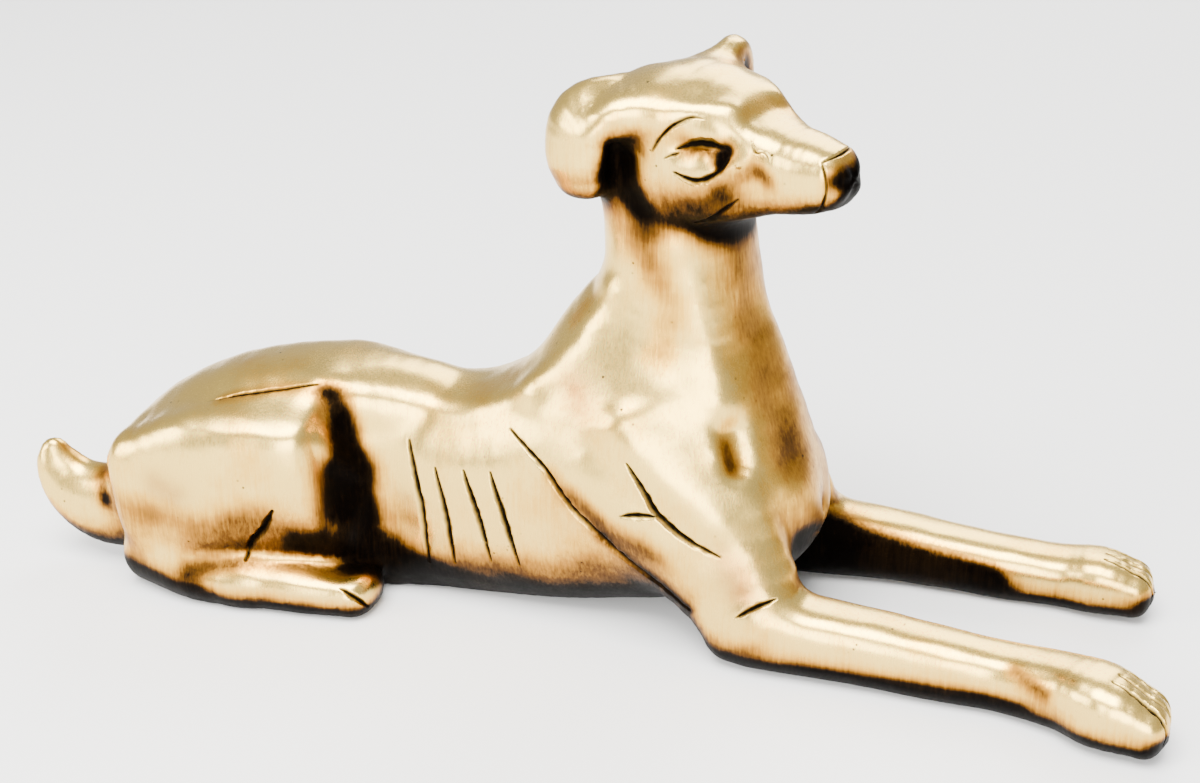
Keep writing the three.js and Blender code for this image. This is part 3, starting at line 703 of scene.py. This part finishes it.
def antique_brass_with_painted_shade():
    """Cast brass, polished by hand and darkened with age, with painted shade laid into its colour. The
    eye sees pale gold with soft highlights where it is rubbed, ochre and then a duller near-black where
    it is tarnished and where shade is painted in hollows, underneath and on forward faces, fine file
    marks along the height, casting pits in patches and a coppery blush."""
    material = bpy.data.materials.new("antique_polished_brass_with_painted_shade")
    material.use_nodes = True
    tree = material.node_tree
    tree.nodes.clear()
    place = add(tree, "ShaderNodeTexCoord").outputs["Object"]
    # This value holds tarnish and painted shade together: shade in hollows, underneath, on forward
    # faces and in some patches
    patina_and_shade = add(tree, "ShaderNodeAttribute", attribute_name="patina_and_shade").outputs["Fac"]
    groove = add(tree, "ShaderNodeAttribute", attribute_name="groove").outputs["Fac"]
    copper = add(tree, "ShaderNodeAttribute", attribute_name="copper").outputs["Fac"]
    mottle = add(tree, "ShaderNodeTexNoise", {"Vector": place},
                 {"Scale": MM / MOTTLE_SIZE, "Detail": 6, "Roughness": 0.6})
    streak_place = add(tree, "ShaderNodeMapping", {"Vector": place},
                       {"Rotation": (0.5, 0.2, 0.9), "Scale": (1, 1, FILE_MARK_SLIMNESS)})
    streak = add(tree, "ShaderNodeTexNoise", {"Vector": streak_place.outputs[0]},
                 {"Scale": MM / FILE_MARK_SIZE, "Detail": 3, "Roughness": 0.7})
    marks = add(tree, "ShaderNodeMath", {0: streak.outputs["Fac"]}, {1: 0.5}, operation="SUBTRACT")
    uneven = add(tree, "ShaderNodeMapRange", {"Value": mottle.outputs["Fac"]},
                 {"From Min": 0.3, "From Max": 0.7, "To Min": -0.14, "To Max": 0.14})
    aged_and_shaded = add(tree, "ShaderNodeMath", {0: patina_and_shade, 1: uneven.outputs[0]}, operation="ADD")
    marked_tarnish_and_shade = add(tree, "ShaderNodeMath", {0: marks.outputs[0], 2: aged_and_shaded.outputs[0]}, {1: 0.35},
                  operation="MULTIPLY_ADD")
    darkest = add(tree, "ShaderNodeMath", {0: marked_tarnish_and_shade.outputs[0], 1: groove},
                  operation="MAXIMUM", use_clamp=True)
    colour = add(tree, "ShaderNodeValToRGB", {"Fac": marked_tarnish_and_shade.outputs[0]})
    stops = colour.color_ramp.elements
    stops.remove(stops[1])
    for at, shade in BRASS_SHADES[1:]:
        stops.new(at).color = linear(shade)
    stops[0].color = linear(BRASS_SHADES[0][1])
    spots = add(tree, "ShaderNodeTexVoronoi", {"Vector": place}, {"Scale": MM / PIT_SPACING})
    pitted = add(tree, "ShaderNodeMapRange", {"Value": spots.outputs["Distance"]},
                 {"From Min": 0.06, "From Max": 0.16, "To Min": 1.0, "To Max": 0.0})
    patches = add(tree, "ShaderNodeTexNoise", {"Vector": place},
                  {"Scale": MM / PIT_PATCH_SIZE, "Detail": 2})
    crowded = add(tree, "ShaderNodeMapRange", {"Value": patches.outputs["Fac"]},
                  {"From Min": 0.56, "From Max": 0.66, "To Min": 0.0, "To Max": 1.0})
    pits = add(tree, "ShaderNodeMath", {0: pitted.outputs[0], 1: crowded.outputs[0]},
               operation="MULTIPLY")
    blotch = add(tree, "ShaderNodeMath", {0: copper, 1: mottle.outputs["Fac"]},
                 operation="MULTIPLY", use_clamp=True)
    reddened = add(tree, "ShaderNodeMix", {"Factor": blotch.outputs[0], "A": colour.outputs["Color"]},
                   {"B": linear(COPPER_BLUSH)}, data_type="RGBA")
    flaws = add(tree, "ShaderNodeMath", {0: pits.outputs[0], 1: groove}, operation="MAXIMUM")
    speckled = add(tree, "ShaderNodeMix", {"Factor": flaws.outputs[0], "A": coloured(reddened)},
                   {"B": linear(DIRT)}, data_type="RGBA")
    rough = add(tree, "ShaderNodeMapRange", {"Value": darkest.outputs[0]},
                {"From Min": 0.2, "From Max": 0.9,
                 "To Min": POLISHED_ROUGHNESS, "To Max": TARNISHED_ROUGHNESS})
    rougher = add(tree, "ShaderNodeMath", {0: marks.outputs[0], 2: rough.outputs[0]}, {1: 0.18},
                  operation="MULTIPLY_ADD")
    bump = add(tree, "ShaderNodeBump", {"Height": streak.outputs["Fac"]},
               {"Strength": 0.12, "Distance": FILE_MARK_DEPTH})
    shader = add(tree, "ShaderNodeBsdfPrincipled", {
        "Base Color": coloured(speckled), "Roughness": rougher.outputs[0],
        "Normal": bump.outputs["Normal"]}, {"Metallic": 1.0})
    add(tree, "ShaderNodeOutputMaterial", {"Surface": shader.outputs[0]})
    return material


def plain(name, shade, roughness):
    """A plain matt finish of one colour."""
    material = bpy.data.materials.new(name)
    material.use_nodes = True
    shader = material.node_tree.nodes["Principled BSDF"]
    shader.inputs["Base Color"].default_value = linear(shade)
    shader.inputs["Roughness"].default_value = roughness
    return material


# What darkens the brass: shelter, which paints shade in hollows and by the ground along with the
# tarnish there; painted shade on faces that turn down, and on the neck and chest where they face ahead;
# and the dark patches, stains with painted shade among them
SHELTER_SHARE, UNDERSIDE_SHADE_SHARE, STAIN_AND_SHADE_SHARE, FRONT_SHADE_SHARE = 1.1, 0.9, 0.95, 0.4
RUBBED_OFF = 0.14  # patina that handling has taken off everywhere
CHEST_FROM_Z = 70


def make_dog():
    """The casting as one object. Its tarnish value is the weighted sum of shelter, of how far the skin
    faces down or ahead, and of the dark patches, less what is rubbed off. Besides tarnish it paints
    shade: in hollows and by the ground, on faces that turn down or ahead, and in some patches.
    Nothing stands outside the solid's box."""
    metres, triangles, drawn, normals, sheltered, groove = dog_mesh()
    metres = np.clip(metres, *np.array(cad_box))
    mesh = bpy.data.meshes.new("dog_casting")
    mesh.from_pydata(metres, [], triangles)
    mesh.polygons.foreach_set("use_smooth", np.ones(len(triangles), bool))
    # Painted shade: the skin is darker the more it faces down
    below = np.clip((0.05 - normals[:, 2]) / 0.85, 0, 1)
    # Painted shade: above CHEST_FROM_Z the skin is darker the more it faces ahead, as where it mirrors
    # dimmer surroundings
    ahead = np.clip((normals[:, 0] - 0.35) / 0.5, 0, 1) * (drawn[:, 2] > CHEST_FROM_Z)
    dark, copper = stains_and_shade(drawn)
    # Tarnish with painted shade: the value that the colour ramp turns towards near-black
    patina_and_shade = np.clip(SHELTER_SHARE * sheltered - RUBBED_OFF + UNDERSIDE_SHADE_SHARE * below + STAIN_AND_SHADE_SHARE * dark
                     + FRONT_SHADE_SHARE * ahead, 0, 1)
    dirt = np.clip(groove * 1.6, 0, 1)
    for name, values in (("patina_and_shade", patina_and_shade), ("groove", dirt), ("copper", copper)):
        attribute = mesh.attributes.new(name, "FLOAT", "POINT")
        attribute.data.foreach_set("value", values.astype(np.float32))
    mesh.materials.append(antique_brass_with_painted_shade())
    dog = bpy.data.objects.new("dog_casting", mesh)
    bpy.context.scene.collection.objects.link(dog)
    return dog


dog = make_dog()
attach(dog, "root")
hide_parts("dog")


FLOOR_HALF = 12.0  # metres


def make_floor():
    """A plain square floor, a hair below the dog's underside."""
    mesh = bpy.data.meshes.new("floor")
    corners = [(x * FLOOR_HALF, y * FLOOR_HALF, 0) for x, y in ((-1, -1), (1, -1), (1, 1), (-1, 1))]
    mesh.from_pydata(corners, [], [(0, 1, 2, 3)])
    mesh.materials.append(plain("pale_studio_floor", "#F4F3F0", 0.9))
    floor = bpy.data.objects.new("floor", mesh)
    floor.location.z = -0.0004
    bpy.context.scene.collection.objects.link(floor)


# Each softbox: its place and what it faces in metres, its side in metres and its power in watts.
# The one above lights the backs and brows, the one behind the crown of the head, and the other two
# the near side
SOFTBOXES = {
    "softbox_above": ((-0.1, -0.7, 1.7), (0, 0, 0.05), 1.2, 105),
    "softbox_behind": ((0.15, 1.6, 1.35), (0, 0, 0.1), 1.3, 45),
    "softbox_left": ((-1.5, -1.2, 0.7), (0, 0, 0.1), 1.0, 42),
    "softbox_front": ((0.3, -1.7, 0.42), (0, 0, 0.08), 1.1, 52),
}
SKY, SKY_STRENGTH = "#E6E8EC", 0.95


def softbox(name, place, target, size, watts):
    """A square area light that faces its target."""
    light = bpy.data.lights.new(name, "AREA")
    light.shape, light.size, light.energy = "SQUARE", size, watts
    lamp = bpy.data.objects.new(name, light)
    lamp.location = place
    away = lamp.location - type(lamp.location)(target)
    lamp.rotation_euler = away.to_track_quat("Z", "Y").to_euler()
    bpy.context.scene.collection.objects.link(lamp)


make_floor()
for box_name, box in SOFTBOXES.items():
    softbox(box_name, *box)
world = bpy.data.worlds.new("studio")
world.use_nodes = True
sky = world.node_tree.nodes["Background"]
sky.inputs["Color"].default_value = linear(SKY)
sky.inputs["Strength"].default_value = SKY_STRENGTH
bpy.context.scene.world = world

# The camera stands where the photograph was taken from
CAMERA_AZIMUTH, CAMERA_ELEVATION = math.radians(17), math.radians(25)
CAMERA_DISTANCE = 1659.0  # thousandths of the length
CAMERA_TARGET = np.array([0, 0, 207.4])
LENS_MM, SENSOR_MM = 60, 36
back = np.array([math.sin(CAMERA_AZIMUTH) * math.cos(CAMERA_ELEVATION),
                 -math.cos(CAMERA_AZIMUTH) * math.cos(CAMERA_ELEVATION), math.sin(CAMERA_ELEVATION)])
camera_data = bpy.data.cameras.new("camera")
camera_data.lens, camera_data.sensor_width = LENS_MM, SENSOR_MM
camera = bpy.data.objects.new("camera", camera_data)
camera.location = (CAMERA_TARGET + back * CAMERA_DISTANCE - MIDDLE) * LENGTH / 1000
camera.rotation_euler = (math.pi / 2 - CAMERA_ELEVATION, 0, CAMERA_AZIMUTH)
bpy.context.scene.collection.objects.link(camera)
bpy.context.scene.camera = camera
